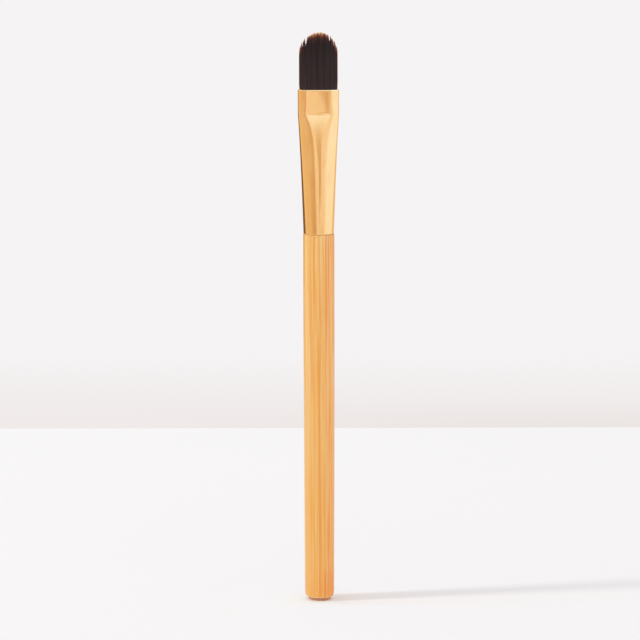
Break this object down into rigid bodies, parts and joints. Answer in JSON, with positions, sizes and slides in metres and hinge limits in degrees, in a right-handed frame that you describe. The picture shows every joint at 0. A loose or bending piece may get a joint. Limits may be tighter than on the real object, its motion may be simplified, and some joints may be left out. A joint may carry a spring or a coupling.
{
  "type": "concealer brush",
  "caption": "Slim make-up brush on a flat foot: straight bamboo handle, gold ferrule pressed flat at its mouth, flat dark hair tuft with a domed tip.",
  "frame": {"origin": "middle of the flat foot on which the brush stands", "axes": "+Z along the brush towards the hair's tip, X across the width of the flat tuft, Y through its thickness"},
  "size_m": [0.011, 0.0084, 0.155],
  "materials": {
    "bamboo": "satin lacquer over fine lengthwise fibre",
    "gold": "polished, gold anodised",
    "dark_hair": "fine straight synthetic hair, chestnut at the tips",
    "epoxy": "set epoxy",
    "glue": "set adhesive film"
  },
  "bodies": {
    "root": {"handle": "bamboo", "ferrule": "gold", "bristle_tuft": "dark_hair", "root_plug": "epoxy", "tenon_glue": "glue"}
  },
  "joints": []
}
